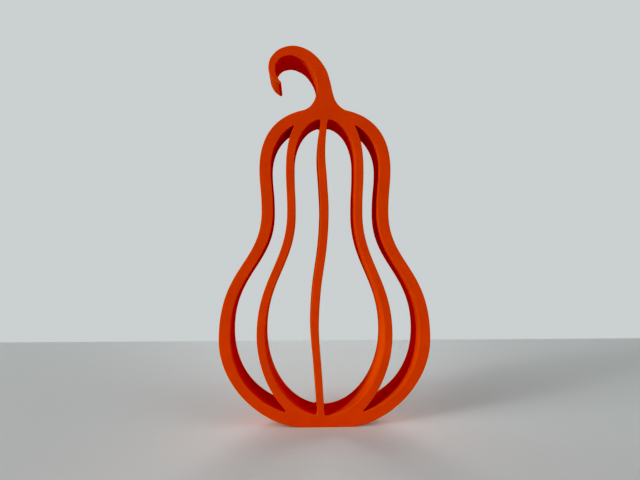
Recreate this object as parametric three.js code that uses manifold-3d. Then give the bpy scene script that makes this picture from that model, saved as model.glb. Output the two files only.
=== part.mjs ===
// Squash silhouette: an openwork ornament in the outline of a butternut squash with a hooked stem,
// made in one piece of plastic. It stands upright on a small flat foot.
//
// Millimetres. +Z is up, +X is to the right of the front face, and the front face looks along -Y.
// The origin is on the surface that the piece stands on, under the middle of its body and halfway
// through its depth.

import * as THREE from 'three';
import Module from 'manifold-3d';
import { mergeVertices } from 'three/addons/utils/BufferGeometryUtils.js';

// ---- Driving dimensions ----

const depth = 20;

// A gourd outline is symmetric. It runs through half widths and heights at its belly, neck and
// shoulder, where it is upright, and closes level at its bottom and crown. The bottom of the body
// has a flat, which is its foot. A pull is the length of the bezier handle that leaves a station.
// The pulls at the ends are shares of the half width beside them: a larger share makes a flatter
// end.

// Outside of the outer band.
const body = {
  belly: { halfWidth: 49.8, height: 41, pullUp: 34 },
  neck: { halfWidth: 30, height: 101, pullDown: 24.5, pullUp: 9 },
  shoulder: { halfWidth: 31.1, height: 121, pullDown: 7 },
  bottom: { height: 0, flatHalfWidth: 10, pullShare: 0.365 },
  crown: { height: 150.3, pullShare: 0.75 },
};

// Inside of the outer band.
const hollow = {
  belly: { halfWidth: 44.6, height: 43.5, pullUp: 28 },
  neck: { halfWidth: 24.7, height: 101, pullDown: 25, pullUp: 11.5 },
  shoulder: { halfWidth: 25.8, height: 122, pullDown: 8 },
  bottom: { height: 4.6, flatHalfWidth: 0, pullShare: 0.69 },
  crown: { height: 145.4, pullShare: 0.68 },
};

// Outside of the inner loop, whose two sides are the side ribs.
const loop = {
  belly: { halfWidth: 32, height: 43, pullUp: 26 },
  neck: { halfWidth: 17.8, height: 100.5, pullDown: 23, pullUp: 11 },
  shoulder: { halfWidth: 18.4, height: 121, pullDown: 8.5 },
  bottom: { height: -1.9, flatHalfWidth: 0, pullShare: 0.45 },
  crown: { height: 150, pullShare: 0.79 },
};

// Inside of the inner loop.
const eye = {
  belly: { halfWidth: 28.1, height: 43, pullUp: 25.5 },
  neck: { halfWidth: 13.9, height: 101, pullDown: 25, pullUp: 11.5 },
  shoulder: { halfWidth: 14.5, height: 124, pullDown: 13.5 },
  bottom: { height: 5.4, flatHalfWidth: 0, pullShare: 0.55 },
  crown: { height: 145.1, pullShare: 0.6 },
};

// The inner loop is drawn a little to the left of the body's middle.
const loopOffset = -0.2;

// A quarter of an oval: the share of its height that an end's upright handle has.
const ovalPull = 0.55;

// Middle line of the centre rib, bottom to top: [x, z].
const centreRibLine = [
  [-1.7, 1.5],
  [-2.3, 10],
  [-3.4, 25],
  [-4.65, 40],
  [-4.9, 50],
  [-3.9, 65],
  [-1.2, 85],
  [-0.3, 101],
  [-0.95, 115],
  [-1.8, 128],
  [-1.2, 139],
  [0.2, 147.5],
];
const centreRibEndWidth = 3.2;
const centreRibMiddleWidth = 3.9;

// Hooked stem: the outer edge, from the right shoulder over the top to the tip: [x, z].
const stemOuterEdge = [
  [12.5, 148.4],
  [8.5, 150],
  [5.6, 152.7],
  [3.9, 156.4],
  [2.3, 163.2],
  [0.4, 168.8],
  [-3.7, 174.5],
  [-8.9, 178.4],
  [-15.3, 180],
  [-21.6, 178.4],
  [-25.8, 174.3],
  [-27, 170.2],
  [-26.6, 167],
  [-24.7, 163.7],
  [-21.7, 161.4],
];

// Hooked stem: the inner edge, from the blunt tip back to the left shoulder: [x, z].
const stemInnerEdge = [
  [-20.8, 162.3],
  [-22.2, 164],
  [-23.8, 167.6],
  [-23.4, 171],
  [-20.8, 174.1],
  [-16.2, 175.2],
  [-11.9, 173.8],
  [-8.4, 171.2],
  [-5, 166],
  [-3.8, 160.5],
  [-4.8, 155],
  [-6.9, 151.4],
  [-9.8, 149.4],
  [-13, 148.2],
];

// The stem's outline closes inside the crown of the body, at this half width and height.
const stemRoot = { halfWidth: 8, height: 147 };

// Straight edges in each bezier of a gourd outline, and between two points of a spline.
const bezierSteps = 20;
const splineSteps = 6;

const orangePlastic = new THREE.MeshStandardMaterial({ color: 0xd84510, roughness: 0.5, metalness: 0 });

// ---- Outlines ----

// Handle lengths at the two ends of a gourd outline.
function endPulls(gourd) {
  return {
    bottomSide: gourd.bottom.pullShare * gourd.belly.halfWidth,
    bottomUp: ovalPull * (gourd.belly.height - gourd.bottom.height),
    crownSide: gourd.crown.pullShare * gourd.shoulder.halfWidth,
    crownDown: ovalPull * (gourd.crown.height - gourd.shoulder.height),
  };
}

// The outline runs up the right side from the bottom and comes back down the left side.
function gourdShape(gourd, offset = 0) {
  const { belly, neck, shoulder, bottom, crown } = gourd;
  const pull = endPulls(gourd);
  const shape = new THREE.Shape();
  const curve = (side, from, to, end) => {
    shape.bezierCurveTo(
      offset + side * from[0], from[1],
      offset + side * to[0], to[1],
      offset + side * end[0], end[1],
    );
  };
  const lowest = [bottom.flatHalfWidth, bottom.height];
  const widest = [belly.halfWidth, belly.height];
  const waist = [neck.halfWidth, neck.height];
  const bulge = [shoulder.halfWidth, shoulder.height];
  const highest = [0, crown.height];

  const besideLowest = [bottom.flatHalfWidth + pull.bottomSide, bottom.height];
  const belowWidest = [belly.halfWidth, belly.height - pull.bottomUp];
  const aboveWidest = [belly.halfWidth, belly.height + belly.pullUp];
  const belowWaist = [neck.halfWidth, neck.height - neck.pullDown];
  const aboveWaist = [neck.halfWidth, neck.height + neck.pullUp];
  const belowBulge = [shoulder.halfWidth, shoulder.height - shoulder.pullDown];
  const aboveBulge = [shoulder.halfWidth, shoulder.height + pull.crownDown];
  const besideHighest = [pull.crownSide, crown.height];

  shape.moveTo(offset + bottom.flatHalfWidth, bottom.height);
  curve(1, besideLowest, belowWidest, widest);
  curve(1, aboveWidest, belowWaist, waist);
  curve(1, aboveWaist, belowBulge, bulge);
  curve(1, aboveBulge, besideHighest, highest);
  curve(-1, besideHighest, aboveBulge, bulge);
  curve(-1, belowBulge, aboveWaist, waist);
  curve(-1, belowWaist, aboveWidest, widest);
  curve(-1, belowWidest, besideLowest, lowest);
  return shape;
}

function spline(points) {
  return new THREE.SplineCurve(points.map(([x, z]) => new THREE.Vector2(x, z)));
}

// The rib's two edges stand off its middle line, by most halfway up.
function centreRibShape() {
  const line = spline(centreRibLine);
  const steps = splineSteps * (centreRibLine.length - 1);
  const rightEdge = [];
  const leftEdge = [];
  for (let i = 0; i <= steps; i += 1) {
    const t = i / steps;
    const swell = (centreRibMiddleWidth - centreRibEndWidth) * Math.sin(Math.PI * t);
    const halfWidth = (centreRibEndWidth + swell) / 2;
    const tangent = line.getTangent(t);
    const across = new THREE.Vector2(tangent.y, -tangent.x).multiplyScalar(halfWidth);
    const middle = line.getPoint(t);
    rightEdge.push(middle.clone().add(across));
    leftEdge.unshift(middle.clone().sub(across));
  }
  return new THREE.Shape([...rightEdge, ...leftEdge]);
}

function stemShape() {
  const outer = spline(stemOuterEdge).getPoints(splineSteps * (stemOuterEdge.length - 1));
  const inner = spline(stemInnerEdge).getPoints(splineSteps * (stemInnerEdge.length - 1));
  const rootLeft = new THREE.Vector2(-stemRoot.halfWidth, stemRoot.height);
  const rootRight = new THREE.Vector2(stemRoot.halfWidth, stemRoot.height);
  return new THREE.Shape([...outer, ...inner, rootLeft, rootRight]);
}

// ---- Solids ----

const wasm = await Module();
wasm.setup();

function toSolid(geometry) {
  geometry.deleteAttribute('normal');
  geometry.deleteAttribute('uv');
  const merged = mergeVertices(geometry);
  return new wasm.Manifold(new wasm.Mesh({
    numProp: 3,
    vertProperties: Float32Array.from(merged.attributes.position.array),
    triVerts: Uint32Array.from(merged.index.array),
  }));
}

function toGeometry(solid) {
  const mesh = solid.getMesh();
  const geometry = new THREE.BufferGeometry();
  geometry.setAttribute('position', new THREE.BufferAttribute(mesh.vertProperties, 3));
  geometry.setIndex(new THREE.BufferAttribute(mesh.triVerts, 1));
  geometry.computeVertexNormals();
  return geometry;
}

// An outline drawn in x and z, given the full depth of the piece.
function slab(shape) {
  const geometry = new THREE.ExtrudeGeometry(shape, {
    depth,
    bevelEnabled: false,
    curveSegments: bezierSteps,
  });
  geometry.translate(0, 0, -depth / 2);
  geometry.rotateX(Math.PI / 2);
  return toSolid(geometry);
}

// Everything below the surface that the piece stands on: the inner loop is cut flat there.
function belowFoot() {
  const drop = 10;
  const geometry = new THREE.BoxGeometry(4 * body.belly.halfWidth, 2 * depth, drop);
  geometry.translate(0, 0, -drop / 2);
  return toSolid(geometry);
}

const outerBand = slab(gourdShape(body)).subtract(slab(gourdShape(hollow)));
const innerLoop = slab(gourdShape(loop, loopOffset)).subtract(slab(gourdShape(eye, loopOffset)));
const ornament = outerBand
  .add(innerLoop)
  .add(slab(centreRibShape()))
  .add(slab(stemShape()))
  .subtract(belowFoot());

// ---- Scene graph ----

const silhouette = new THREE.Mesh(toGeometry(ornament), orangePlastic);
silhouette.name = 'squash_silhouette';

const group = new THREE.Group();
group.add(silhouette);

export default group;
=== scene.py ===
"""Squash silhouette ornament: the finished surface of the printed piece, on a pale table.

The outlines repeat the solid's own drawing in its millimetres, with what the solid leaves out:
rounded front and back edges, and a small radius at the ends of each opening, as a nozzle leaves.
"""

import math

import bmesh
import bpy
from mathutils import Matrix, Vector, geometry


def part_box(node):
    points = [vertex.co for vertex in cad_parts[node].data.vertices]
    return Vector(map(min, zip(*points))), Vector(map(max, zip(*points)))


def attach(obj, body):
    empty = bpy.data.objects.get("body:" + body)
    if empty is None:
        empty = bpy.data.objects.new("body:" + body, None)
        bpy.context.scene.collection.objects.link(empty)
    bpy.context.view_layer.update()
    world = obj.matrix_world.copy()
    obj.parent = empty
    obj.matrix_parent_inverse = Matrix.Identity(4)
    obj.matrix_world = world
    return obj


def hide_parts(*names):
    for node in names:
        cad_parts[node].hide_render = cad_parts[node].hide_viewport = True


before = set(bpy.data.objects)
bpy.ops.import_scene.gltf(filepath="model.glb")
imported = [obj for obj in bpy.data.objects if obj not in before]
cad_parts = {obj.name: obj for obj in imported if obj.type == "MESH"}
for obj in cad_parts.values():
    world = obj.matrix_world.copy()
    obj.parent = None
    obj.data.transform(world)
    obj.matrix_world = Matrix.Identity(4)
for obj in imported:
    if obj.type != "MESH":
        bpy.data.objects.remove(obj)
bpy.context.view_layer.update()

NODE = "squash_silhouette"

# ---- The drawing, in millimetres: x to the right, z up, base at z = 0 ----

DRAWN_HEIGHT = 180.0
low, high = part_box(NODE)
MM = (high[2] - low[2]) / DRAWN_HEIGHT
DEPTH = (high[1] - low[1]) / MM

# A gourd outline passes upright through its belly, neck and shoulder and closes level at its ends.
# The body ends in a flat, its foot. A pull is the length of a bezier handle, and the ends' pulls
# are shares of the half width there.
BODY = {
    "belly": {"half_width": 49.8, "height": 41, "pull_up": 34},
    "neck": {"half_width": 30, "height": 101, "pull_down": 24.5, "pull_up": 9},
    "shoulder": {"half_width": 31.1, "height": 121, "pull_down": 7},
    "bottom": {"height": 0, "flat_half_width": 10, "pull_share": 0.365},
    "crown": {"height": 150.3, "pull_share": 0.75},
}
HOLLOW = {
    "belly": {"half_width": 44.6, "height": 43.5, "pull_up": 28},
    "neck": {"half_width": 24.7, "height": 101, "pull_down": 25, "pull_up": 11.5},
    "shoulder": {"half_width": 25.8, "height": 122, "pull_down": 8},
    "bottom": {"height": 4.6, "flat_half_width": 0, "pull_share": 0.69},
    "crown": {"height": 145.4, "pull_share": 0.68},
}
LOOP = {
    "belly": {"half_width": 32, "height": 43, "pull_up": 26},
    "neck": {"half_width": 17.8, "height": 100.5, "pull_down": 23, "pull_up": 11},
    "shoulder": {"half_width": 18.4, "height": 121, "pull_down": 8.5},
    "bottom": {"height": -1.9, "flat_half_width": 0, "pull_share": 0.45},
    "crown": {"height": 150, "pull_share": 0.79},
}
EYE = {
    "belly": {"half_width": 28.1, "height": 43, "pull_up": 25.5},
    "neck": {"half_width": 13.9, "height": 101, "pull_down": 25, "pull_up": 11.5},
    "shoulder": {"half_width": 14.5, "height": 124, "pull_down": 13.5},
    "bottom": {"height": 5.4, "flat_half_width": 0, "pull_share": 0.55},
    "crown": {"height": 145.1, "pull_share": 0.6},
}
LOOP_OFFSET = -0.2
OVAL_PULL = 0.55

CENTRE_RIB_LINE = [
    (-1.7, 1.5), (-2.3, 10), (-3.4, 25), (-4.65, 40), (-4.9, 50), (-3.9, 65),
    (-1.2, 85), (-0.3, 101), (-0.95, 115), (-1.8, 128), (-1.2, 139), (0.2, 147.5),
]
CENTRE_RIB_END_WIDTH = 3.2
CENTRE_RIB_MIDDLE_WIDTH = 3.9

STEM_OUTER_EDGE = [
    (12.5, 148.4), (8.5, 150), (5.6, 152.7), (3.9, 156.4), (2.3, 163.2), (0.4, 168.8),
    (-3.7, 174.5), (-8.9, 178.4), (-15.3, 180), (-21.6, 178.4), (-25.8, 174.3), (-27, 170.2),
    (-26.6, 167), (-24.7, 163.7), (-21.7, 161.4),
]
STEM_INNER_EDGE = [
    (-20.8, 162.3), (-22.2, 164), (-23.8, 167.6), (-23.4, 171), (-20.8, 174.1), (-16.2, 175.2),
    (-11.9, 173.8), (-8.4, 171.2), (-5, 166), (-3.8, 160.5), (-4.8, 155), (-6.9, 151.4),
    (-9.8, 149.4), (-13, 148.2),
]

# ---- What the printed surface adds, in the same millimetres ----

EDGE_RADIUS = 0.4          # front and back edges
EDGE_STEPS = 4             # straight steps round such an edge
TIP_RADIUS = 0.2           # ends of the outer openings
FILLET_RADIUS = 0.8        # where the centre rib meets the inner loop
ARC_STEPS = 4              # straight steps round either of them, at least
STEP = 0.6                 # along an outline
CURVE_STEPS = 48           # points along each bezier, before the outline is stepped evenly

LAYER = 0.2                # one printed layer, stacked from front to back
TRACK = 0.42               # one printed line on the front and back faces
WALL_RELIEF = 0.05         # the depth of a bump 1 high on the walls
FACE_RELIEF = 0.06         # the same on the faces

# ---- Relief: the bumps' heights, and the scales of their noise per metre ----

RIDGE_HEIGHT = 0.35        # a layer's rounded ridge, beside a noise 1 high on each layer
BAND_HEIGHT = 2.5          # bands of several layers
TRACK_HEIGHT = 0.12
GRAIN_HEIGHT = 0.5
WALL_BUMP = 0.4            # how strongly the walls' relief shows
FACE_BUMP = 0.35
LAYER_NOISE = (60, 4000)   # along the layers and across them
BAND_NOISE = (25, 900)     # the same
GRAIN_NOISE = (2500, 3)    # scale and detail

# ---- Colours and gloss ----

FACE_DEEP = (0.69, 0.077, 0.005, 1)
FACE_LIGHT = (0.8, 0.089, 0.007, 1)
# The walls' two oranges are the plastic's own orange, made a little lighter and more orange than
# the faces' as a painted sheen of the lit walls, whose gloss is turned off.
WALL_DEEP_WITH_SHEEN = (0.68, 0.092, 0.005, 1)
WALL_LIGHT_WITH_SHEEN = (0.81, 0.112, 0.007, 1)
DRIFT_NOISE = (90, 3)      # scale and detail
DRIFT_RANGE = (0.35, 0.65)  # of the mixed noise, from deep to light
TABLE_COLOUR = (0.775, 0.82, 0.815, 1)

# Roughness at the two ends of a noise.
WALL_ROUGHNESS = (0.62, 0.52)
FACE_ROUGHNESS = (0.56, 0.46)
TABLE_ROUGHNESS = (0.7, 0.73)
TABLE_NOISE = (14, 4)      # scale and detail
GLOSS_RANGE = (0.3, 0.7)   # of the noise

WALL_SPECULAR = 0.0
FACE_SPECULAR = 0.08
FACE_SPECULAR_TINT = (1.0, 0.35, 0.12, 1)
TABLE_SPECULAR = 0.15

# ---- The camera, in millimetres from the middle of the base ----

CAMERA_PLACE = (-11.9, -251.0, 81.9)
CAMERA_TURN = 2.23         # degrees to the right
CAMERA_TILT = 1.356        # degrees up
CAMERA_LENS = 28.8
CAMERA_SENSOR = 36.0
CAMERA_CLIP = (0.01, 20)   # metres

# ---- The table, in metres ----

TABLE_HALF_WIDTH = 1.2
TABLE_FRONT = -0.8
TABLE_BACK = 0.226         # a little way behind the piece, as far as the photo shows it

# ---- Light ----

WALL_COLOUR = (0.61, 0.64, 0.65, 1)
ROOM_LIGHT_COLOUR = (1.0, 0.98, 0.96, 1)
ROOM_LIGHT = 0.01
# name: degrees round from the front towards the left, degrees up, degrees across, strength
LIGHTS = {
    "window": (60, 10, 12, 1.15),
    "window_top": (60, 30, 40, 0.9),
    "right_wall": (-107, 9, 34, 0.6),
    "front_right": (-60, 30, 60, 0.85),
    "front": (-20, 10, 30, 0.3),
    "back": (180, 12, 32, 1.75),
    "left_rear": (130, 10, 30, 0.45),
}
BLACK_LEVEL = 0.03


# ---- Outlines ----

def bezier(start, leave, arrive, end):
    """Points of one bezier, its end point left out."""
    knots = [Vector(p) for p in (start, leave, arrive, end)]
    return geometry.interpolate_bezier(*knots, CURVE_STEPS + 1)[:-1]


def gourd_side(gourd, side, offset=0.0):
    """One side of a gourd outline, from its lowest point up to its highest."""
    belly, neck, shoulder = gourd["belly"], gourd["neck"], gourd["shoulder"]
    bottom, crown = gourd["bottom"], gourd["crown"]
    rise = OVAL_PULL * (belly["height"] - bottom["height"])
    drop = OVAL_PULL * (crown["height"] - shoulder["height"])
    lowest = (bottom["flat_half_width"], bottom["height"])
    widest = (belly["half_width"], belly["height"])
    waist = (neck["half_width"], neck["height"])
    bulge = (shoulder["half_width"], shoulder["height"])
    highest = (0, crown["height"])
    points = [
        *bezier(
            lowest, (lowest[0] + bottom["pull_share"] * widest[0], lowest[1]),
            (widest[0], widest[1] - rise), widest,
        ),
        *bezier(
            widest, (widest[0], widest[1] + belly["pull_up"]),
            (waist[0], waist[1] - neck["pull_down"]), waist,
        ),
        *bezier(
            waist, (waist[0], waist[1] + neck["pull_up"]),
            (bulge[0], bulge[1] - shoulder["pull_down"]), bulge,
        ),
        *bezier(
            bulge, (bulge[0], bulge[1] + drop),
            (crown["pull_share"] * bulge[0], highest[1]), highest,
        ),
        Vector(highest),
    ]
    return [Vector((offset + side * p.x, p.y)) for p in points]


def spline(points):
    """A smooth curve through the points, with the solid's own uniform Catmull-Rom tangents."""
    knots = [Vector(p) for p in points]
    ends = [knots[0], *knots, knots[-1]]
    curve = []
    for before, start, end, after in zip(ends, ends[1:], ends[2:], ends[3:]):
        leave = start + (end - before) / 6
        arrive = end - (after - start) / 6
        curve += bezier(start, leave, arrive, end)
    return [*curve, knots[-1]]


def left_normals(line):
    """Unit normals to the left of an open line's direction."""
    ends = [line[0], *line, line[-1]]
    turned = []
    for before, after in zip(ends, ends[2:]):
        along = after - before
        turned.append(Vector((-along.y, along.x)).normalized())
    return turned


def moved_left(line, distance):
    """The open line again, moved to the left of its direction."""
    return [p + n * distance for p, n in zip(line, left_normals(line))]


def rib_edges():
    """The centre rib's left and right edges, bottom to top."""
    line = spline(CENTRE_RIB_LINE)
    last = len(line) - 1
    left, right = [], []
    for i, (middle, normal) in enumerate(zip(line, left_normals(line))):
        swell = (CENTRE_RIB_MIDDLE_WIDTH - CENTRE_RIB_END_WIDTH) * math.sin(math.pi * i / last)
        half_width = (CENTRE_RIB_END_WIDTH + swell) / 2
        left.append(middle + normal * half_width)
        right.append(middle - normal * half_width)
    return left, right


def crossing(line_a, line_b):
    """Where line_a first crosses line_b: the index of the point before it on each."""
    for i, (a, b) in enumerate(zip(line_a, line_a[1:])):
        for j, (c, d) in enumerate(zip(line_b, line_b[1:])):
            if max(a.x, b.x) < min(c.x, d.x) or max(c.x, d.x) < min(a.x, b.x):
                continue
            if geometry.intersect_line_line_2d(a, b, c, d):
                return i, j
    raise ValueError("the outlines do not cross")


def arc(centre, start, end):
    """Points strictly between start and end, clockwise on the circle about centre."""
    first = start - centre
    last = end - centre
    begin = math.atan2(first.y, first.x)
    turn = (math.atan2(last.y, last.x) - begin) % math.tau - math.tau
    steps = max(ARC_STEPS, round(abs(turn) * first.length / STEP))
    angles = [begin + turn * k / steps for k in range(1, steps)]
    return [centre + first.length * Vector((math.cos(a), math.sin(a))) for a in angles]


def rounded(side_in, side_out, radius):
    """One side, an arc that touches it and the next side on its right, and that next side."""
    moved_in = moved_left(side_in, -radius)
    moved_out = moved_left(side_out, -radius)
    back, j = crossing(moved_in[::-1], moved_out)
    i = len(side_in) - 2 - back
    centre = geometry.intersect_line_line_2d(
        moved_in[i], moved_in[i + 1], moved_out[j], moved_out[j + 1]
    )
    touch_in = centre + left_normals(side_in)[i] * radius
    touch_out = centre + left_normals(side_out)[j] * radius
    bend = [touch_in, *arc(centre, touch_in, touch_out), touch_out]
    return side_in[: i + 1], bend, side_out[j + 1:]


def evenly(loop):
    """The closed loop again, with points one even step apart."""
    closed = [*loop, loop[0]]
    lengths = [(b - a).length for a, b in zip(closed, closed[1:])]
    total = sum(lengths)
    count = round(total / STEP)
    spacing = total / count
    points = []
    walked = 0.0
    for start, end, length in zip(closed, closed[1:], lengths):
        while len(points) < count and walked + length > len(points) * spacing:
            share = (len(points) * spacing - walked) / length
            points.append(start.lerp(end, share))
        walked += length
    return points


def opening(left_side, right_side, radius):
    """A clockwise loop: up its left side and down its right one, rounded at both ends."""
    down = right_side[::-1]
    left_up, top_bend, right_down = rounded(left_side, down, radius)
    right_down, bottom_bend, left_up = rounded(right_down, left_up, radius)
    return evenly([*left_up, *top_bend, *right_down, *bottom_bend])


def silhouette():
    """The counterclockwise outside: foot, right side, stem, left side."""
    right = gourd_side(BODY, 1)
    left = gourd_side(BODY, -1)[::-1]
    outer = spline(STEM_OUTER_EDGE)
    inner = spline(STEM_INNER_EDGE)

    up, stem_start = crossing(right, outer)
    right, outer = right[: up + 1], outer[stem_start + 1:]
    stem_end, down = crossing(inner[::-1], left)
    inner, left = inner[: len(inner) - 1 - stem_end], left[down + 1:]
    return evenly([*right, *outer, *inner, *left])


def outlines():
    """The outside, and then the four openings from left to right."""
    rib_left, rib_right = rib_edges()
    return [
        silhouette(),
        opening(gourd_side(HOLLOW, -1), gourd_side(LOOP, -1, LOOP_OFFSET), TIP_RADIUS),
        opening(gourd_side(EYE, -1, LOOP_OFFSET), rib_left, FILLET_RADIUS),
        opening(rib_right, gourd_side(EYE, 1, LOOP_OFFSET), FILLET_RADIUS),
        opening(gourd_side(LOOP, 1, LOOP_OFFSET), gourd_side(HOLLOW, 1), TIP_RADIUS),
    ]


# ---- The printed piece ----

def edge_profile():
    """Rings from front to back: how far each is drawn in from the wall, and its depth."""
    front = []
    for k in range(EDGE_STEPS + 1):
        angle = math.pi / 2 * (1 - k / EDGE_STEPS)
        drawn_in = EDGE_RADIUS * (1 - math.cos(angle))
        front.append((drawn_in, -DEPTH / 2 + EDGE_RADIUS * (1 - math.sin(angle))))
    back = [(drawn_in, -y) for drawn_in, y in reversed(front)]
    return [*front, *back]


def loop_normals(loop):
    """Unit normals to the left of a closed loop: into the material on every outline."""
    turned = []
    for before, after in zip([loop[-1], *loop[:-1]], [*loop[1:], loop[0]]):
        along = after - before
        turned.append(Vector((-along.y, along.x)).normalized())
    return turned


def printed_mesh(loops):
    """One closed mesh: the walls with their rounded edges, and the two faces as material 1."""
    bm = bmesh.new()
    rims = ([], [])
    for loop in loops:
        normals = loop_normals(loop)
        rings = []
        for drawn_in, y in edge_profile():
            places = [p + n * drawn_in for p, n in zip(loop, normals)]
            rings.append([bm.verts.new((p.x * MM, y * MM, p.y * MM)) for p in places])
        for front, back in zip(rings, rings[1:]):
            for k in range(len(loop)):
                bm.faces.new((front[k - 1], front[k], back[k], back[k - 1]))
        for rim, ring in zip(rims, (rings[0], rings[-1])):
            rim += [bm.edges.get((ring[k - 1], ring[k])) for k in range(len(ring))]
    for face in bm.faces:
        face.smooth = True
    for rim, facing in zip(rims, (-1, 1)):
        filled = bmesh.ops.triangle_fill(
            bm, use_beauty=True, use_dissolve=False, edges=rim, normal=(0, facing, 0)
        )
        for piece in filled["geom"]:
            if isinstance(piece, bmesh.types.BMFace):
                piece.material_index = 1
    bmesh.ops.recalc_face_normals(bm, faces=bm.faces)
    mesh = bpy.data.meshes.new("printed_squash")
    bm.to_mesh(mesh)
    bm.free()
    return mesh


# ---- Materials ----

class Nodes:
    """Short calls that add and link shader nodes."""

    def __init__(self, name):
        self.material = bpy.data.materials.new(name)
        self.material.use_nodes = True
        self.tree = self.material.node_tree
        self.shader = self.tree.nodes["Principled BSDF"]

    def add(self, kind, inputs=None, **settings):
        node = self.tree.nodes.new("ShaderNode" + kind)
        for key, value in settings.items():
            setattr(node, key, value)
        for key, value in (inputs or {}).items():
            if isinstance(value, bpy.types.NodeSocket):
                self.tree.links.new(value, node.inputs[key])
            else:
                node.inputs[key].default_value = value
        return node

    def math(self, operation, first, second=0.0):
        return self.add("Math", {0: first, 1: second}, operation=operation).outputs[0]

    def noise(self, vector, scale, detail=2.0):
        settings = {"Vector": vector, "Scale": scale, "Detail": detail}
        return self.add("TexNoise", settings).outputs["Fac"]

    def streaks(self, vector, along, across):
        """Noise drawn out in x and z, with its scale along them and across them, in y."""
        scales = (along, across, along)
        drawn = self.add("VectorMath", {0: vector, 1: scales}, operation="MULTIPLY")
        return self.noise(drawn.outputs[0], 1.0)

    def link(self, output, socket):
        self.tree.links.new(output, self.shader.inputs[socket])

    def relief(self, height, strength, distance):
        bump = self.add("Bump", {"Strength": strength, "Distance": distance, "Height": height})
        self.link(bump.outputs["Normal"], "Normal")


def pigment(nodes, place, fine, deep, light):
    """Base colour: half a slow drift between two oranges, which is returned, and half relief."""
    drift = nodes.noise(place, *DRIFT_NOISE)
    mixed = nodes.math("MULTIPLY", nodes.math("ADD", drift, fine), 0.5)
    ramp = nodes.add("ValToRGB", {"Fac": mixed})
    stops = ramp.color_ramp.elements
    for stop, position, colour in zip(stops, DRIFT_RANGE, (deep, light)):
        stop.position, stop.color = position, colour
    nodes.link(ramp.outputs["Color"], "Base Color")
    return drift


def uneven_gloss(nodes, value, ends):
    """Roughness that follows a noise between two ends."""
    gloss = nodes.add("MapRange", {
        "Value": value,
        "From Min": GLOSS_RANGE[0], "From Max": GLOSS_RANGE[1],
        "To Min": ends[0], "To Max": ends[1],
    })
    nodes.link(gloss.outputs["Result"], "Roughness")


def printed_wall():
    """The walls: layer lines that run along them, one rounded ridge a layer, none quite alike."""
    nodes = Nodes("orange_wall")
    place = nodes.add("TexCoord").outputs["Object"]
    depth = nodes.add("SeparateXYZ", {"Vector": place}).outputs["Y"]

    ridge = nodes.math("SINE", nodes.math("MULTIPLY", depth, math.tau / (LAYER * MM)))
    layers = nodes.streaks(place, *LAYER_NOISE)
    bands = nodes.streaks(place, *BAND_NOISE)
    height = nodes.math("ADD", nodes.math("MULTIPLY", ridge, RIDGE_HEIGHT), layers)
    height = nodes.math("ADD", height, nodes.math("MULTIPLY", bands, BAND_HEIGHT))
    nodes.relief(height, WALL_BUMP, WALL_RELIEF * MM)

    # The walls' base colour carries a painted sheen: its oranges are a little more orange than the
    # faces'.
    pigment(nodes, place, bands, WALL_DEEP_WITH_SHEEN, WALL_LIGHT_WITH_SHEEN)
    uneven_gloss(nodes, bands, WALL_ROUGHNESS)
    nodes.shader.inputs["Specular IOR Level"].default_value = WALL_SPECULAR
    return nodes.material


def printed_face():
    """The front and back: faint parallel tracks at 45 degrees, and a fine grain."""
    nodes = Nodes("orange_face")
    place = nodes.add("TexCoord").outputs["Object"]
    metres = nodes.add("SeparateXYZ", {"Vector": place})

    diagonal = nodes.math("ADD", metres.outputs["X"], metres.outputs["Z"])
    turns = nodes.math("MULTIPLY", diagonal, math.tau / (TRACK * MM * math.sqrt(2)))
    tracks = nodes.math("MULTIPLY", nodes.math("SINE", turns), TRACK_HEIGHT)
    grain = nodes.noise(place, *GRAIN_NOISE)
    height = nodes.math("ADD", tracks, nodes.math("MULTIPLY", grain, GRAIN_HEIGHT))
    nodes.relief(height, FACE_BUMP, FACE_RELIEF * MM)

    drift = pigment(nodes, place, grain, FACE_DEEP, FACE_LIGHT)
    uneven_gloss(nodes, drift, FACE_ROUGHNESS)
    nodes.shader.inputs["Specular IOR Level"].default_value = FACE_SPECULAR
    nodes.shader.inputs["Specular Tint"].default_value = FACE_SPECULAR_TINT
    return nodes.material


def table_top():
    """A plain pale surface with hardly any gloss."""
    nodes = Nodes("table_top")
    place = nodes.add("TexCoord").outputs["Object"]
    uneven_gloss(nodes, nodes.noise(place, *TABLE_NOISE), TABLE_ROUGHNESS)
    nodes.shader.inputs["Specular IOR Level"].default_value = TABLE_SPECULAR
    nodes.shader.inputs["Base Color"].default_value = TABLE_COLOUR
    return nodes.material


# ---- Surroundings ----

def floor(material):
    """The pale table, one flat sheet."""
    left, right = -TABLE_HALF_WIDTH, TABLE_HALF_WIDTH
    corners = [
        (left, TABLE_FRONT, 0), (right, TABLE_FRONT, 0),
        (right, TABLE_BACK, 0), (left, TABLE_BACK, 0),
    ]
    mesh = bpy.data.meshes.new("table")
    mesh.from_pydata(corners, [], [(0, 1, 2, 3)])
    mesh.materials.append(material)
    table = bpy.data.objects.new("table", mesh)
    bpy.context.collection.objects.link(table)


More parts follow.
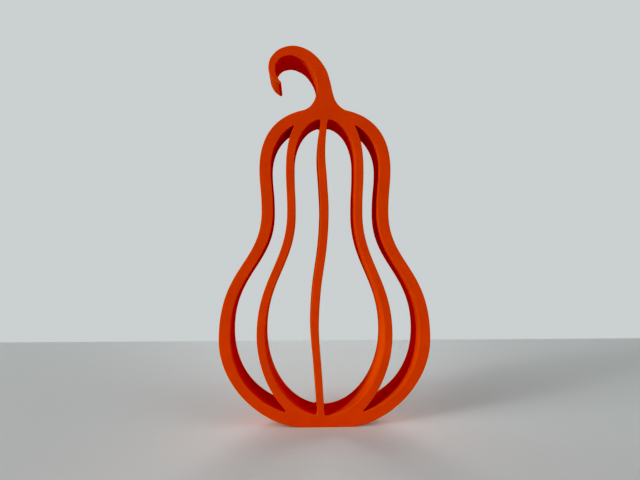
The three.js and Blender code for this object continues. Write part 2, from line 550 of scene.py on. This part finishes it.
def soft_light(name, turn, rise, spread, strength):
    """One broad light from far off, which falls evenly on the piece and the table."""
    data = bpy.data.lights.new(name, "SUN")
    data.angle = math.radians(spread)
    data.energy = strength
    round_angle, up_angle = math.radians(turn), math.radians(rise)
    away = Vector((
        -math.sin(round_angle) * math.cos(up_angle),
        -math.cos(round_angle) * math.cos(up_angle),
        math.sin(up_angle),
    ))
    lamp = bpy.data.objects.new(name, data)
    lamp.location = away
    lamp.rotation_euler = away.to_track_quat("Z", "Y").to_euler()
    bpy.context.collection.objects.link(lamp)


def camera():
    """The view that the photo was taken from."""
    data = bpy.data.cameras.new("camera")
    data.lens = CAMERA_LENS
    data.sensor_width = CAMERA_SENSOR
    data.clip_start, data.clip_end = CAMERA_CLIP
    view = bpy.data.objects.new("camera", data)
    view.location = [c * MM for c in CAMERA_PLACE]
    view.rotation_euler = (math.radians(90 + CAMERA_TILT), 0, math.radians(-CAMERA_TURN))
    bpy.context.collection.objects.link(view)
    bpy.context.scene.camera = view


def room():
    """A pale wall all round for the camera, and a dimmer even light from it on everything else."""
    world = bpy.data.worlds.new("room")
    world.use_nodes = True
    tree = world.node_tree
    seen = tree.nodes["Background"]
    seen.inputs["Color"].default_value = WALL_COLOUR
    lit = tree.nodes.new("ShaderNodeBackground")
    lit.inputs["Color"].default_value = ROOM_LIGHT_COLOUR
    lit.inputs["Strength"].default_value = ROOM_LIGHT
    path = tree.nodes.new("ShaderNodeLightPath")
    mix = tree.nodes.new("ShaderNodeMixShader")
    tree.links.new(path.outputs["Is Camera Ray"], mix.inputs[0])
    tree.links.new(lit.outputs[0], mix.inputs[1])
    tree.links.new(seen.outputs[0], mix.inputs[2])
    tree.links.new(mix.outputs[0], tree.nodes["World Output"].inputs["Surface"])
    bpy.context.scene.world = world


def film():
    """Plain sRGB with a camera's black level, which deepens the colours in the shade."""
    view = bpy.context.scene.view_settings
    view.view_transform = "Standard"
    view.use_curve_mapping = True
    view.curve_mapping.black_level = (BLACK_LEVEL, BLACK_LEVEL, BLACK_LEVEL)
    view.curve_mapping.update()


# ---- The scene ----

camera()
film()
room()
for name, settings in LIGHTS.items():
    soft_light(name, *settings)
floor(table_top())

mesh = printed_mesh(outlines())
mesh.materials.append(printed_wall())
mesh.materials.append(printed_face())
squash = bpy.data.objects.new("printed_squash", mesh)
bpy.context.collection.objects.link(squash)
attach(squash, "root")
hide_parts(NODE)
